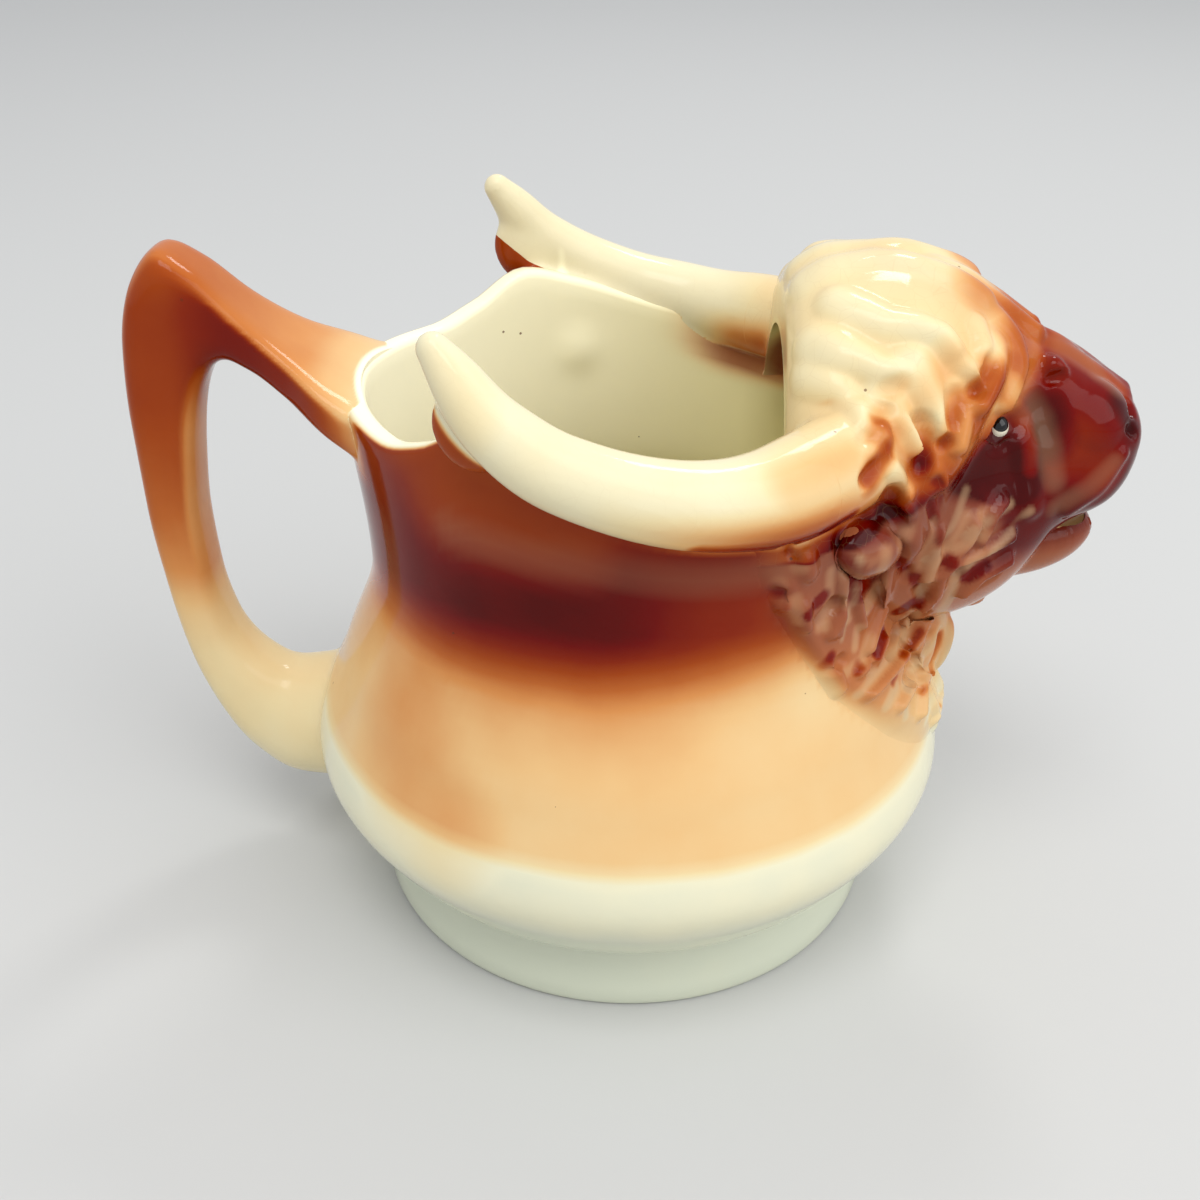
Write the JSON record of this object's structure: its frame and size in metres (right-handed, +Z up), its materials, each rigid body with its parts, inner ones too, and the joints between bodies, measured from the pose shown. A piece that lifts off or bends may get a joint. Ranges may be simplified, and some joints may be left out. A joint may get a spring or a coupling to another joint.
{
  "type": "bison head pitcher",
  "caption": "Glazed clay jug on a foot ring, with a loop handle, horns along its rim and a hollow bison head as its pouring spout.",
  "frame": {"origin": "centre of the foot ring on the surface that the pitcher stands on", "axes": "+X points from the handle to the bison's nose, +Y is the bison's left side, +Z is up"},
  "size_m": [0.178, 0.122, 0.1273],
  "materials": {
    "vessel_glaze": "gloss glaze, airbrushed from red-brown over tan to a pale band, cream inside",
    "foot_glaze": "gloss glaze, pale celadon white",
    "handle_glaze": "gloss glaze, deep red-brown fading to cream below",
    "horn_glaze": "gloss glaze, ivory, tan at the root",
    "face_glaze": "gloss glaze, deep red-brown",
    "forelock_glaze": "gloss glaze, cream with tan in the hollows",
    "mane_glaze": "gloss glaze, brown with dark red hollows and pale lock ends",
    "lip_glaze": "gloss glaze, brown outside and cream inside",
    "ear_glaze": "gloss glaze, red-brown",
    "eye_glaze": "gloss glaze, white with a black pupil"
  },
  "bodies": {
    "root": {"vessel_body": "vessel_glaze", "foot_ring": "foot_glaze", "handle": "handle_glaze", "left_horn": "horn_glaze", "right_horn": "horn_glaze", "bison_head": "face_glaze", "forelock": "forelock_glaze", "left_mane": "mane_glaze", "right_mane": "mane_glaze", "beard": "mane_glaze", "lower_lip": "lip_glaze", "left_ear": "ear_glaze", "right_ear": "ear_glaze", "left_eye": "eye_glaze", "right_eye": "eye_glaze"}
  },
  "joints": []
}
